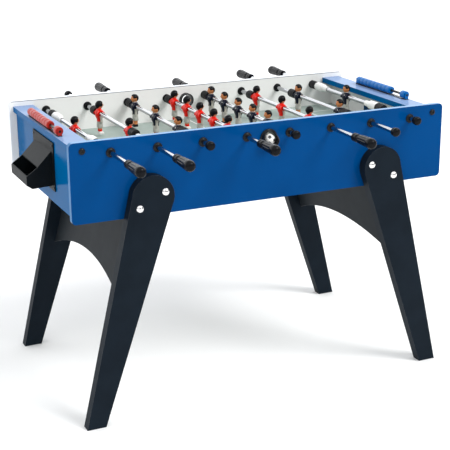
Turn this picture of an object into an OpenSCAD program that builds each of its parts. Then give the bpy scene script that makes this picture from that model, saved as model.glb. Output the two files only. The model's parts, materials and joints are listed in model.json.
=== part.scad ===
// Table football game with eight through rods on a splayed-leg cabinet.
// Millimetres. +X runs along the table, +Y from the front side to the rear side, +Z up.
// The origin is on the floor, under the middle of the whole object's box. The rods reach further to
// the rear than to the front, so the cabinet's middle lies a little in front of it.

/* [Cabinet] */
// Length of the front and rear panels
table_l = 1256; // [1240:2:1300]
// Width across the outer faces of the front and rear panels
table_w = 666; // [640:2:700]
// Height of the front and rear panels' top edge above the floor
table_h = 880; // [860:2:920]
// Height of the front and rear panels
panel_h = 241; // [235:1:260]
// Thickness of the cabinet's panels
panel_t = 18; // [16:1:20]
// Corner radius of the front and rear panels
corner_r = 14; // [8:1:20]
// Distance from a side panel's end in to the end panel's outer face
end_recess = 23; // [20:1:30]
// Width of the ledge on top of each end panel
ledge_w = 68; // [60:1:70]
// How far the ledge reaches out past the end panel
ledge_out = 10; // [5:1:15]
// Depth of the ledge's top below the panels' top edge
ledge_drop = 17; // [12:1:20]

/* [Playing field] */
// Depth of the field's surface below the panels' top edge
field_depth = 117; // [112:1:120]
// Thickness of the field
field_t = 6; // [4:1:10]
// Half the width of the goal mouth
goal_half_w = 84; // [70:1:90]
// Height of the goal mouth
goal_h = 40; // [38:1:42]

/* [Rods] */
// Diameter of the steel rods
rod_d = 14; // [12:1:16]
// Distance between neighbouring rods
rod_pitch = 144; // [144:1:148]
// Depth of the rods' axes below the panels' top edge
rod_depth = 38; // [36:1:40]
// Diameter of the bushings' flanges and the bumpers
bushing_d = 29; // [26:1:32]
// Length of a rubber bumper
bumper_l = 38; // [30:1:45]
// Length of a handle
handle_l = 112; // [100:1:125]
// Diameter of a handle at its thick end
handle_d = 33; // [30:1:36]
// Rod left bare between the bushing and the handle when the handle is pushed right in
handle_clear = 78; // [50:1:90]
// Rod left bare between the bushing and the end cap when the cap is pulled right in
cap_clear = 28; // [15:1:40]

/* [Legs] */
// Thickness of a leg
leg_t = 34; // [25:1:40]
// Radius of a leg's round top
leg_top_r = 66; // [55:1:75]
// Distance of the round top's centre from the middle of the table
leg_top_x = 389; // [370:1:400]
// Depth of the round top's centre below the panels' top edge
leg_top_depth = 178; // [170:1:190]
// Distance of the foot's outer corner from the middle of the table
foot_x = 621; // [600:1:640]
// Width of the foot
foot_w = 60; // [50:1:75]
// Height of the arch's crown below the cabinet's underside
arch_drop = 203; // [150:1:230]
// How much lower the arch's ends are than its crown
arch_rise = 65; // [40:1:90]

/* [Hidden] */
$fn = 64;
half_l = table_l / 2;
half_w = table_w / 2;
inner_w = half_w - panel_t;
end_x = half_l - end_recess;
end_inner = end_x - panel_t;
base_z = table_h - panel_h;
field_z = table_h - field_depth;
rod_z = table_h - rod_depth;
ledge_z = table_h - ledge_drop;
ledge_x = end_x + ledge_out - ledge_w;

// Bushings: sleeve through the panel and a flange on each side
sleeve_d = 20;
flange_in = 4;
flange_out = 5;
run_gap = 0.08;

// Rods from the left end to the right end
PLAYERS = [1, 2, 3, 5, 5, 3, 2, 1];
HANDLE_SIDE = [-1, -1, 1, -1, 1, -1, 1, 1];
REST_SLIDE = [0, 46, 48, 22, 33, -1, 6, 65];
TEAM = [1, 1, -1, 1, -1, 1, -1, -1];
PLAYER_PITCH = [0, 0, 288, 192, 0, 110];
player_half_w = 18;
stop_gap = 0.5;
keeper_stop = 244;
spacer_l = 74;
handle_grip = 60;
cap_l = 24;
cap_grip = 14;

function rod_x(i) = (i - 3.5) * rod_pitch;
function spread(n) = n > 1 ? PLAYER_PITCH[n] * (n - 1) / 2 : 0;
function stop_y(n) = n == 1 ? keeper_stop : spread(n) + player_half_w + stop_gap + bumper_l;
function stroke(n) = inner_w - flange_in - stop_y(n) - stop_gap;

// How far the handles reach out past the two sides, and how far that moves the middle of the box
function reach(i) = half_w + stroke(PLAYERS[i]) + handle_clear + handle_l + HANDLE_SIDE[i] * REST_SLIDE[i];
function side_reach(side) = max([for (i = [0:7]) HANDLE_SIDE[i] == side ? reach(i) : 0]);
box_mid_y = (side_reach(1) - side_reach(-1)) / 2;

// Feed cups
feed_z = table_h - 49;
feed_bore = 41;
feed_sleeve = 47;
feed_rim = 58;
ball_d = 35;

// Ball boxes
box_half_w = 88;
box_wall = 3;
box_flange_w = 216;
box_flange_top = table_h - 49;
box_flange_bottom = table_h - 200;
box_flange_t = 4;

// Side view of a ball box: distance out from the end panel, and depth below the panels' top edge
BOX_SIDE = [[0, 74], [50, 125], [84, 149], [84, 177], [67, 189], [0, 185]];

// Scorers
scorer_x = end_x - 4;
scorer_front = -163.5;
scorer_rear = 151;
scorer_tray_t = 2;
bead_d = 25;
bead_l = 24;
bead_rod_d = 8;
stack_n = 9;
stack_front = -71;
single_y = -150;
scorer_z = ledge_z + scorer_tray_t + bead_d / 2 + 0.5;
bracket_t = 3;

// Leg bolts, measured along X and Z
leg_top_z = table_h - leg_top_depth;
LEG_BOLTS = [[leg_top_x - 39, leg_top_z + 12], [leg_top_x + 42, leg_top_z - 30]];
bolt_d = 8;
bolt_head_d = 24;
bolt_head_h = 7;

// Ledge bolts
ledge_bolt_x = end_x - 16;
ledge_bolt_z = ledge_z - panel_t / 2;

// ---------- Helpers ----------

// Cylinder along +Y from y0 to y1
module bar_y(x, z, y0, y1, d) {
    translate([x, y0, z]) rotate([-90, 0, 0]) cylinder(h = y1 - y0, d = d);
}

// Outline drawn in X and Z, made solid from y0 to y1
module slab_y(points, y0, y1) {
    translate([0, y1, 0]) rotate([90, 0, 0]) linear_extrude(y1 - y0) polygon(points);
}

// Box from corner to corner
module box(lo, hi) {
    translate(lo) cube(hi - lo);
}

// The front side and, mirrored, the rear side
module both_sides() {
    children();
    mirror([0, 1, 0]) children();
}

// The right end and, mirrored, the left end
module both_ends() {
    children();
    mirror([1, 0, 0]) children();
}

// Puts a finished piece in the part's frame
module placed() {
    translate([0, -box_mid_y, 0]) children();
}

// Turns the part from the right end round to the left end
module at_left() {
    mirror([1, 0, 0]) children();
}

// Where the line from p touches the circle at c on the side s
function touch(p, c, r, s) =
    let (d = norm(p - c), a = atan2(p[1] - c[1], p[0] - c[0]), b = acos(r / d))
    c + r * [cos(a + s * b), sin(a + s * b)];

// ---------- Cabinet ----------

module side_panel_blank() {
    y0 = -half_w;
    y1 = -inner_w;
    box([-half_l + corner_r, y0, base_z], [half_l - corner_r, y1, table_h]);
    box([-half_l, y0, base_z + corner_r], [half_l, y1, table_h - corner_r]);
    for (x = [-1, 1], z = [base_z + corner_r, table_h - corner_r])
        bar_y(x * (half_l - corner_r), z, y0, y1, 2 * corner_r);
}

module side_panel() {
    difference() {
        side_panel_blank();
        for (i = [0:7])
            bar_y(rod_x(i), rod_z, -half_w - 1, -inner_w + 1, sleeve_d);
        bar_y(0, feed_z, -half_w - 1, -inner_w + 1, feed_sleeve);
        both_ends() {
            bar_y(ledge_bolt_x, ledge_bolt_z, -half_w - 1, -inner_w + 1, 6);
            for (b = LEG_BOLTS)
                bar_y(b[0], b[1], -half_w - 1, -inner_w + 1, bolt_d);
        }
    }
}

module front_panel() {
    color([0.01, 0.31, 0.6]) side_panel();
}

module rear_panel() {
    color([0.01, 0.31, 0.6]) mirror([0, 1, 0]) side_panel();
}

module right_end_panel() {
    color([0.01, 0.31, 0.6]) difference() {
        box([end_inner, -inner_w, base_z], [end_x, inner_w, ledge_z - panel_t]);
        box([end_inner - 1, -goal_half_w, field_z], [end_x + 1, goal_half_w, field_z + goal_h]);
        for (y = [-1, 1], z = box_screw_z())
            translate([end_x - 14, y * box_screw_y(), z]) rotate([0, 90, 0]) cylinder(h = 15, d = 3.5);
    }
}

module left_end_panel() {
    at_left() right_end_panel();
}

module right_ledge() {
    color([0.01, 0.31, 0.6]) difference() {
        box([ledge_x, -inner_w, ledge_z - panel_t], [end_x + ledge_out, inner_w, ledge_z]);
        both_sides() bar_y(ledge_bolt_x, ledge_bolt_z, -inner_w - 1, -inner_w + 32, 6);
    }
}

module left_ledge() {
    at_left() right_ledge();
}

module playing_field() {
    color([0.55, 0.63, 0.6])
        box([-end_inner, -inner_w, field_z - field_t], [end_inner, inner_w, field_z]);
}

// Battens that carry the field, its middle beam, and the blocks in the cabinet's corners
module field_supports() {
    top = field_z - field_t;
    batten_h = 28;
    batten_w = 22;
    beam_half_w = 30;
    block = 40;
    color([0.76, 0.6, 0.42]) {
        both_sides()
            box([-end_inner, -inner_w, top - batten_h], [end_inner, -inner_w + batten_w, top]);
        both_ends()
            box([end_inner - batten_w, -inner_w + batten_w + 1, top - batten_h],
                [end_inner, inner_w - batten_w - 1, top]);
        box([-beam_half_w, -inner_w + batten_w + 1, top - batten_h],
            [beam_half_w, inner_w - batten_w - 1, top]);
        both_sides() both_ends()
            box([end_inner - block, -inner_w, base_z + 4],
                [end_inner, -inner_w + block, top - batten_h - 1]);
    }
}

module rod_bushing(x) {
    difference() {
        union() {
            bar_y(x, rod_z, -half_w - flange_out, -half_w, bushing_d);
            bar_y(x, rod_z, -half_w, -inner_w, sleeve_d);
            bar_y(x, rod_z, -inner_w, -inner_w + flange_in, bushing_d);
        }
        bar_y(x, rod_z, -half_w - flange_out - 1, -inner_w + flange_in + 1, rod_d + run_gap);
    }
}

module rod_bushings() {
    color([0.08, 0.08, 0.09]) both_sides()
        for (i = [0:7]) rod_bushing(rod_x(i));
}

// Rim on the outer face, sleeve through the panel, and a mouth that widens outwards
module feed_cup() {
    rim_t = 5;
    lip = 3;
    difference() {
        union() {
            bar_y(0, feed_z, -half_w - rim_t, -half_w, feed_rim);
            bar_y(0, feed_z, -half_w, -inner_w + lip, feed_sleeve);
        }
        bar_y(0, feed_z, -half_w - rim_t - 1, -inner_w + lip + 1, feed_bore);
        translate([0, -half_w - rim_t - 0.01, feed_z]) rotate([-90, 0, 0])
            cylinder(h = rim_t, d1 = feed_rim - 5, d2 = feed_bore);
    }
}

module feed_cups() {
    color([0.06, 0.06, 0.07]) both_sides() feed_cup();
}

module ledge_bolts() {
    head_d = 20;
    head_h = 5;
    color([0.06, 0.06, 0.07]) both_sides() both_ends() {
        bar_y(ledge_bolt_x, ledge_bolt_z, -half_w - head_h, -half_w, head_d);
        bar_y(ledge_bolt_x, ledge_bolt_z, -half_w, -inner_w + 30, 6);
    }
}

// ---------- Ball boxes ----------

function box_screw_y() = box_flange_w / 2 - 9;
function box_screw_z() = [box_flange_bottom + 10, box_flange_top - 10];

// Corner k of the shell's outline along X and Z, moved by dx and dz
function box_at(k, dx = 0, dz = 0) = [end_x + BOX_SIDE[k][0] + dx, table_h - BOX_SIDE[k][1] + dz];

// Hollow inside the shell, run out through the slanted mouth and back into the flange
function box_hollow() = [
    box_at(0, -1, -box_wall - 1),
    box_at(1, -3, -2),
    box_at(1, 1, 40),
    box_at(2, -box_wall, 40),
    box_at(3, -box_wall, 2),
    box_at(4, -1, box_wall),
    box_at(5, -1, box_wall)
];

module right_ball_box() {
    color([0.07, 0.07, 0.08]) difference() {
        union() {
            slab_y([for (k = [0:5]) box_at(k)], -box_half_w, box_half_w);
            box([end_x, -box_flange_w / 2, box_flange_bottom],
                [end_x + box_flange_t, box_flange_w / 2, box_flange_top]);
        }
        slab_y(box_hollow(), -box_half_w + box_wall, box_half_w - box_wall);
        for (y = [-1, 1], z = box_screw_z())
            translate([end_x - 1, y * box_screw_y(), z]) rotate([0, 90, 0])
                cylinder(h = box_flange_t + 2, d = 3.5);
    }
}

module left_ball_box() {
    at_left() right_ball_box();
}

module ball_box_screws() {
    color([0.15, 0.15, 0.16]) both_ends()
        for (y = [-1, 1], z = box_screw_z())
            translate([end_x - 13, y * box_screw_y(), z]) rotate([0, 90, 0]) {
                cylinder(h = 13 + box_flange_t, d = 3.5);
                translate([0, 0, 13 + box_flange_t]) cylinder(h = 2, d1 = 8, d2 = 5);
            }
}

// ---------- Scorers ----------

// Narrow tray under the beads with an upright bracket at each end
module scorer_tray() {
    half_tray = 7;
    half_bracket = 6;
    difference() {
        union() {
            box([scorer_x - half_tray, scorer_front - bracket_t, ledge_z],
                [scorer_x + half_tray, scorer_rear + bracket_t, ledge_z + scorer_tray_t]);
            for (y = [scorer_front - bracket_t, scorer_rear])
                box([scorer_x - half_bracket, y, ledge_z],
                    [scorer_x + half_bracket, y + bracket_t, scorer_z + half_bracket]);
        }
        bar_y(scorer_x, scorer_z, scorer_front - bracket_t - 1, scorer_rear + bracket_t + 1, bead_rod_d);
    }
}

module scorer_trays() {
    color([0.06, 0.06, 0.07]) both_ends() scorer_tray();
}

module scorer_rods() {
    color([0.2, 0.18, 0.17]) both_ends()
        bar_y(scorer_x, scorer_z, scorer_front - bracket_t, scorer_rear + bracket_t, bead_rod_d);
}

// One bead centred at y, with sloped edges
module score_bead(y) {
    edge = 4;
    l = bead_l - 0.3;
    translate([scorer_x, y - l / 2, scorer_z]) rotate([-90, 0, 0]) difference() {
        union() {
            cylinder(h = edge, d1 = bead_d - 8, d2 = bead_d);
            translate([0, 0, edge]) cylinder(h = l - 2 * edge, d = bead_d);
            translate([0, 0, l - edge]) cylinder(h = edge, d1 = bead_d, d2 = bead_d - 8);
        }
        translate([0, 0, -1]) cylinder(h = l + 2, d = bead_rod_d + 2 * run_gap);
    }
}

module bead_stack() {
    for (k = [0:stack_n - 1]) score_bead(stack_front + (k + 0.5) * bead_l);
}

module left_bead_stack() {
    color([0.75, 0.12, 0.1]) at_left() bead_stack();
}

module left_bead() {
    color([0.75, 0.12, 0.1]) at_left() score_bead(single_y);
}

module right_bead_stack() {
    color([0.02, 0.4, 0.72]) bead_stack();
}

module right_bead() {
    color([0.02, 0.4, 0.72]) score_bead(single_y);
}

// ---------- Legs ----------

// One right-hand leg on the front side, drilled for its two bolts. Its straight edges run a little
// inside the round top, so that they cross it cleanly.
module leg() {
    c = [leg_top_x, leg_top_z];
    r = leg_top_r - 0.4;
    outer = [foot_x, 0];
    inner = [foot_x - foot_w, 0];
    y0 = -half_w - leg_t;
    difference() {
        union() {
            bar_y(leg_top_x, leg_top_z, y0, -half_w, 2 * leg_top_r);
            slab_y([outer, touch(outer, c, r, 1), c, touch(inner, c, r, -1), inner], y0, -half_w);
        }
        for (b = LEG_BOLTS) bar_y(b[0], b[1], y0 - 1, -half_w + 1, bolt_d);
    }
}

module right_legs() {
    color([0.1, 0.13, 0.16]) both_sides() leg();
}

module left_legs() {
    at_left() right_legs();
}

// Distance of the leg's centre line from the middle of the table at height z
leg_slope = (foot_x - foot_w / 2 - leg_top_x) / leg_top_z;
function leg_mid(z) = leg_top_x + leg_slope * (leg_top_z - z);

// Panel between the two legs of one end, leaning with them, with an arched lower edge
module right_cross_panel() {
    lean = atan(leg_slope);
    crown_z = base_z - arch_drop;
    end_z = crown_z - arch_rise;
    half_t = panel_t / 2 / cos(lean);
    arch_r = (arch_rise * arch_rise + half_w * half_w) / (2 * arch_rise);
    low = end_z - 1;
    color([0.2, 0.22, 0.24]) difference() {
        slab_y([
            [leg_mid(base_z) - half_t, base_z], [leg_mid(base_z) + half_t, base_z],
            [leg_mid(end_z) + half_t, end_z], [leg_mid(end_z) - half_t, end_z]
        ], -half_w, half_w);
        translate([leg_mid(low) - 60, 0, crown_z - arch_r]) rotate([0, 90, 0])
            cylinder(h = 120, r = arch_r, $fn = 180);
    }
}

module left_cross_panel() {
    at_left() right_cross_panel();
}

// Domed bolts through the leg and the side panel, each with its washer and nut inside
module leg_bolts() {
    out = half_w + leg_t;
    washer_t = 1.6;
    nut_h = 6.5;
    dome_r = (bolt_head_d * bolt_head_d / 4 + bolt_head_h * bolt_head_h) / (2 * bolt_head_h);
    color([0.8, 0.8, 0.82]) both_sides() both_ends() for (b = LEG_BOLTS) {
        bar_y(b[0], b[1], -out, -inner_w + 12, bolt_d);
        intersection() {
            bar_y(b[0], b[1], -out - bolt_head_h - 1, -out, bolt_head_d);
            translate([b[0], -out - bolt_head_h + dome_r, b[1]]) sphere(r = dome_r);
        }
        difference() {
            union() {
                bar_y(b[0], b[1], -inner_w, -inner_w + washer_t, 20);
                translate([b[0], -inner_w + washer_t, b[1]]) rotate([-90, 0, 0])
                    cylinder(h = nut_h, d = 15, $fn = 6);
            }
            bar_y(b[0], b[1], -inner_w - 1, -inner_w + 13, bolt_d);
        }
    }
}

module ball() {
    seat = (feed_bore - ball_d) / 2 - 0.3;
    color([0.92, 0.92, 0.9]) translate([0, -half_w - 5, feed_z - seat]) sphere(d = ball_d);
}

// ---------- Rods ----------

// Front view and side view of a figure, from its shoulders to its foot
FIGURE_FRONT = [
    [-9, 13], [9, 13], [18, 5], [18, -8], [14, -14], [12, -26], [12, -46], [9, -58], [12, -63], [12, -70],
    [-12, -70], [-12, -63], [-9, -58], [-12, -46], [-12, -26], [-14, -14], [-18, -8], [-18, 5]
];
FIGURE_SIDE = [
    [-9, 13], [8, 13], [13, 4], [12, -10], [9, -26], [9, -46], [7, -58], [12, -63], [12, -70],
    [-7, -70], [-7, -58], [-9, -46], [-10, -26], [-12, -10], [-13, 4]
];

// One figure that faces +X, with its origin on the rod's axis
module figure() {
    head_r = 13.5;
    difference() {
        union() {
            intersection() {
                slab_y(FIGURE_SIDE, -20, 20);
                translate([20, 0, 0]) rotate([90, 0, -90]) linear_extrude(40) polygon(FIGURE_FRONT);
            }
            translate([0, 0, 10]) cylinder(h = 10, d = 12);
            translate([1, 0, 40.5 - head_r]) sphere(r = head_r);
        }
        bar_y(0, 0, -20, 20, rod_d);
    }
}

module players(i) {
    n = PLAYERS[i];
    color(TEAM[i] > 0 ? [0.82, 0.12, 0.08] : [0.08, 0.1, 0.18])
        for (k = [0:n - 1])
            translate([rod_x(i), REST_SLIDE[i] - spread(n) + k * PLAYER_PITCH[n], rod_z])
                rotate([0, 0, TEAM[i] > 0 ? 0 : 180]) figure();
}

// Moves the rod's parts to their places, with +Y towards the handle
module on_rod(i) {
    translate([rod_x(i), REST_SLIDE[i], rod_z])
        mirror([0, HANDLE_SIDE[i] > 0 ? 0 : 1, 0]) children();
}

module bar(i) {
    s = stroke(PLAYERS[i]);
    color([0.75, 0.76, 0.78]) on_rod(i)
        bar_y(0, 0, -half_w - s - cap_clear - cap_grip, half_w + s + handle_clear + handle_grip, rod_d);
}

// Half outline of a handle from its rod end to its tip, as radius and distance
function handle_outline() = [
    [0, 0], [11.5, 0], [12.8, 2], [12.8, 24], [10.8, 28], [10.8, 32], [13.6, 37],
    [handle_d / 2, handle_l - 16], [handle_d / 2 - 1.5, handle_l - 8],
    [handle_d / 2 - 5, handle_l - 3], [handle_d / 2 - 9, handle_l], [0, handle_l]
];

// Fluted handle that opens towards the rod
module grip() {
    flutes = 10;
    taper = atan((handle_d / 2 - 13.6) / (handle_l - 53));
    rotate([-90, 0, 0]) difference() {
        rotate_extrude() polygon(handle_outline());
        translate([0, 0, -1]) cylinder(h = handle_grip + 1, d = rod_d);
        for (k = [1:flutes])
            rotate([0, 0, k * 360 / flutes]) translate([14.6, 0, 36]) rotate([0, taper, 0])
                cylinder(h = handle_l - 50, r = 2.6, $fn = 24);
    }
}

module end_cap() {
    cap_d = 28;
    rotate([90, 0, 0]) difference() {
        intersection() {
            cylinder(h = cap_l, d = cap_d);
            translate([0, 0, cap_l - 18]) sphere(r = 18);
        }
        translate([0, 0, -1]) cylinder(h = cap_grip + 1, d = rod_d);
    }
}

module handle(i) {
    s = stroke(PLAYERS[i]);
    color([0.06, 0.06, 0.07]) on_rod(i) {
        translate([0, half_w + s + handle_clear, 0]) grip();
        translate([0, -half_w - s - cap_clear, 0]) end_cap();
    }
}

// Rubber bumper between its inner end y and its outer end
module ring(y, l) {
    difference() {
        bar_y(0, 0, y, y + l, bushing_d);
        bar_y(0, 0, y - 1, y + l + 1, rod_d + run_gap);
    }
}

module bumpers(i) {
    color([0.05, 0.05, 0.06]) on_rod(i) both_sides()
        ring(stop_y(PLAYERS[i]) - bumper_l, bumper_l);
}

module spacers(i) {
    color([0.93, 0.93, 0.92]) on_rod(i) both_sides()
        ring(keeper_stop - bumper_l - spacer_l, spacer_l);
}

placed() front_panel();
placed() rear_panel();
placed() left_end_panel();
placed() right_end_panel();
placed() left_ledge();
placed() right_ledge();
placed() playing_field();
placed() field_supports();
placed() rod_bushings();
placed() feed_cups();
placed() ledge_bolts();
placed() left_ball_box();
placed() right_ball_box();
placed() ball_box_screws();
placed() scorer_trays();
placed() scorer_rods();
placed() left_bead_stack();
placed() left_bead();
placed() right_bead_stack();
placed() right_bead();
placed() left_legs();
placed() right_legs();
placed() left_cross_panel();
placed() right_cross_panel();
placed() leg_bolts();
placed() ball();
placed() bar(0);  // rod_1_bar
placed() players(0);  // rod_1_players
placed() handle(0);  // rod_1_handle
placed() bumpers(0);  // rod_1_bumpers
placed() spacers(0);  // rod_1_spacers
placed() bar(1);  // rod_2_bar
placed() players(1);  // rod_2_players
placed() handle(1);  // rod_2_handle
placed() bumpers(1);  // rod_2_bumpers
placed() bar(2);  // rod_3_bar
placed() players(2);  // rod_3_players
placed() handle(2);  // rod_3_handle
placed() bumpers(2);  // rod_3_bumpers
placed() bar(3);  // rod_4_bar
placed() players(3);  // rod_4_players
placed() handle(3);  // rod_4_handle
placed() bumpers(3);  // rod_4_bumpers
placed() bar(4);  // rod_5_bar
placed() players(4);  // rod_5_players
placed() handle(4);  // rod_5_handle
placed() bumpers(4);  // rod_5_bumpers
placed() bar(5);  // rod_6_bar
placed() players(5);  // rod_6_players
placed() handle(5);  // rod_6_handle
placed() bumpers(5);  // rod_6_bumpers
placed() bar(6);  // rod_7_bar
placed() players(6);  // rod_7_players
placed() handle(6);  // rod_7_handle
placed() bumpers(6);  // rod_7_bumpers
placed() bar(7);  // rod_8_bar
placed() players(7);  // rod_8_players
placed() handle(7);  // rod_8_handle
placed() bumpers(7);  // rod_8_bumpers
placed() spacers(7);  // rod_8_spacers
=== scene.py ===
"""Table football game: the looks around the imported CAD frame.

Metres, +X along the table, +Y to the rear, +Z up. The boards, boxes, trays, leg bolts and bars keep
their CAD shape and get finishes, all but the bars with rounded edges. Figures, handles, caps, bumpers,
spacers, bushings, beads, ledge bolts, cups and the ball are modelled here, in millimetres, and stand for
their CAD nodes.
"""

import json
import math

import bmesh
import bpy
from mathutils import Matrix, Vector


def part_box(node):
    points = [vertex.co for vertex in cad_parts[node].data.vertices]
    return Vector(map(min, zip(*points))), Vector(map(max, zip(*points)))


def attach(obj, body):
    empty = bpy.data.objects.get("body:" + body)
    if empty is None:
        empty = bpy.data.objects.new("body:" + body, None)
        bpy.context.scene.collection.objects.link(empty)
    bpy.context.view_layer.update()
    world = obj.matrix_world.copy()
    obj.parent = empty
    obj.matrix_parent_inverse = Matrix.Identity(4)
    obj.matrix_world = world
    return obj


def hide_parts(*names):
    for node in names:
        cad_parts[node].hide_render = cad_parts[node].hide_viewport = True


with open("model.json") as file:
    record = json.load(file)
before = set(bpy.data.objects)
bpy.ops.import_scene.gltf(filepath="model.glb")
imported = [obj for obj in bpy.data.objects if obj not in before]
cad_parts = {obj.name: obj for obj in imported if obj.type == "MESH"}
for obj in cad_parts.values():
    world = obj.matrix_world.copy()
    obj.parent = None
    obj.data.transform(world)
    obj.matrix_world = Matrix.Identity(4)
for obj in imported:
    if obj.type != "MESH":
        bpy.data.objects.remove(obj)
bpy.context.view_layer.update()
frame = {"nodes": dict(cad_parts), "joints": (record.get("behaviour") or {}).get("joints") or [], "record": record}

MM = 0.001
PLAYERS = (1, 2, 3, 5, 5, 3, 2, 1)
SIDES = ("left", "right")
SPIN = {j["child"]: Vector(j["pos_m"]) for j in frame["joints"] if j["name"].endswith("_spin")}
RODS = [f"rod_{number}" for number in range(1, len(PLAYERS) + 1)]
SLOTS = {s["node"]: s["material_slot"] for s in frame["record"]["subparts"]}
CENTRE_Y = (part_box("front_panel")[0].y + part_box("rear_panel")[1].y) / 2
TOP_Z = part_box("rear_panel")[1].z


# ---------- Materials ----------

class Look:
    """A material under construction: a Principled shader and short ways to add texture nodes."""

    def __init__(self, name, roughness, **plain):
        self.material = bpy.data.materials.new(name)
        self.material.use_nodes = True
        self.tree = self.material.node_tree
        self.shader = self.tree.nodes["Principled BSDF"]
        self.shader.inputs["Roughness"].default_value = roughness
        for socket, value in plain.items():
            self.shader.inputs[socket.replace("_", " ")].default_value = value
        where = self.tree.nodes.new("ShaderNodeTexCoord")
        self.place = where.outputs["Object"]
        self.normal = where.outputs["Normal"]

    def node(self, kind, inputs=(), **settings):
        made = self.tree.nodes.new(kind)
        for key, value in settings.items():
            setattr(made, key, value)
        for socket, value in dict(inputs).items():
            if isinstance(value, bpy.types.NodeSocket):
                self.tree.links.new(value, made.inputs[socket])
            else:
                made.inputs[socket].default_value = value
        return made

    def math(self, operation, a, b=0.0):
        return self.node("ShaderNodeMath", {0: a, 1: b}, operation=operation).outputs[0]

    def split(self, vector):
        return self.node("ShaderNodeSeparateXYZ", {0: vector}).outputs

    def noise(self, scale, detail=3.0, stretch=(1, 1, 1), roughness=0.55):
        """Noise over the piece, drawn out along the axes whose stretch is small."""
        where = self.node("ShaderNodeMapping", {"Vector": self.place, "Scale": stretch}).outputs[0]
        inputs = {"Vector": where, "Scale": scale, "Detail": detail, "Roughness": roughness}
        return self.node("ShaderNodeTexNoise", inputs).outputs["Fac"]

    def ramp(self, fac, low, high, a=0.0, b=1.0):
        """From a where fac is at low to b where it is at high."""
        inputs = {"Value": fac, "From Min": low, "From Max": high, "To Min": a, "To Max": b}
        return self.node("ShaderNodeMapRange", inputs, interpolation_type="SMOOTHSTEP").outputs[0]

    def mix(self, fac, a, b):
        """Colour a where fac is 0, and b where it is 1."""
        inputs = {
            "Factor": fac,
            "A": a if isinstance(a, bpy.types.NodeSocket) else (*a, 1),
            "B": b if isinstance(b, bpy.types.NodeSocket) else (*b, 1),
        }
        made = self.tree.nodes.new("ShaderNodeMix")
        made.data_type = "RGBA"
        sockets = {s.name: s for s in made.inputs if s.enabled}
        for name, value in inputs.items():
            if isinstance(value, bpy.types.NodeSocket):
                self.tree.links.new(value, sockets[name])
            else:
                sockets[name].default_value = value
        return next(s for s in made.outputs if s.enabled)

    def shade(self, colour, spread, scale):
        """The colour, a little darker and a little lighter from place to place."""
        fac = self.ramp(self.noise(scale, 4.0), 0.3, 0.7)
        dark = tuple(c * (1 - spread) for c in colour)
        light = tuple(min(1.0, c * (1 + spread)) for c in colour)
        return self.mix(fac, dark, light)

    def paint(self, colour):
        self.tree.links.new(colour, self.shader.inputs["Base Color"])
        return self

    def rough(self, low, high, scale):
        """Roughness that drifts from low to high."""
        fac = self.ramp(self.noise(scale, 5.0), 0.3, 0.7, low, high)
        self.tree.links.new(fac, self.shader.inputs["Roughness"])
        return self

    def bump(self, height, strength, depth_mm):
        inputs = {"Height": height, "Strength": strength, "Distance": depth_mm * MM}
        made = self.node("ShaderNodeBump", inputs)
        self.tree.links.new(made.outputs[0], self.shader.inputs["Normal"])
        return self

    def facing(self, axis, sign):
        """1 where the surface faces along the axis, 0 elsewhere."""
        along = self.math("MULTIPLY", self.split(self.normal)[axis], float(sign))
        return self.ramp(along, 0.86, 0.96)


# Axes, as indices of a vector
X, Y, Z = range(3)

BLUE = (0.0, 0.055, 0.205)
END_BLUE = (0.0, 0.096, 0.27)
# The ledges' top is painted paler than their sides: painted light from the bright sky above
LEDGE_LIT_TOP = (0.22, 0.32, 0.52)
OFF_WHITE = (0.88, 0.88, 0.86)
EDGE_LINE = (0.20, 0.21, 0.23)
CHARCOAL = (0.0075, 0.0125, 0.019)
CROSS_GREY = (0.017, 0.021, 0.025)
BEAD_RED = (0.37, 0.020, 0.013)
BEAD_BLUE = (0.0, 0.13, 0.42)

# Edge bands painted as reflection of the bright sky: their colour on top, and on the ends and below. Both are
# paler than the laminate, the blue top palest, the rear panel's near white all round
BLUE_BAND_SHEEN = ((0.14, 0.30, 0.54), (0.045, 0.17, 0.37))
WHITE_BAND_SHEEN = ((0.74, 0.78, 0.84), (0.74, 0.78, 0.84))

LAMINATE_GLOSS = 0.1


def laminate(name, blue=BLUE, inner=None, band_sheen=BLUE_BAND_SHEEN, top=None, level=0.035, coat=0.0):
    """Blue laminate: off-white on the side that faces inner = (axis, sign), a band round the edges in painted
    reflection, and a top painted paler for the light it catches, if one is asked for."""
    look = Look(name, LAMINATE_GLOSS, Specular_IOR_Level=level, Coat_Weight=coat, Coat_Roughness=0.06)
    colour = look.shade(blue, 0.06, 4.0)
    if inner:
        axis, sign = inner
        white = look.shade(OFF_WHITE, 0.015, 4.0)
        below_top = look.math("SUBTRACT", TOP_Z, look.split(look.place)[Z])
        line = look.ramp(below_top, 3.4 * MM, 2.2 * MM, 0.0, 0.85)
        colour = look.mix(look.facing(axis, sign), colour, look.mix(line, white, EDGE_LINE))
        # Painted reflection: the edge bands are paler than the laminate, and paler still on top, for the bright
        # sky they mirror
        top_sheen, end_sheen = (look.shade(band, 0.05, 30.0) for band in band_sheen)
        band = look.mix(look.facing(Z, 1), end_sheen, top_sheen)
        along = look.math("ABSOLUTE", look.split(look.normal)[axis])
        colour = look.mix(look.ramp(along, 0.80, 0.95), band, colour)
    # Painted light: a face that looks up is painted paler, for the sky light it catches
    if top:
        colour = look.mix(look.facing(Z, 1), colour, look.shade(top, 0.04, 4.0))
    look.paint(colour).rough(LAMINATE_GLOSS, LAMINATE_GLOSS + 0.06, 9.0)
    return look.bump(look.noise(160.0, 2.0), 0.03, 0.2).material


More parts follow.
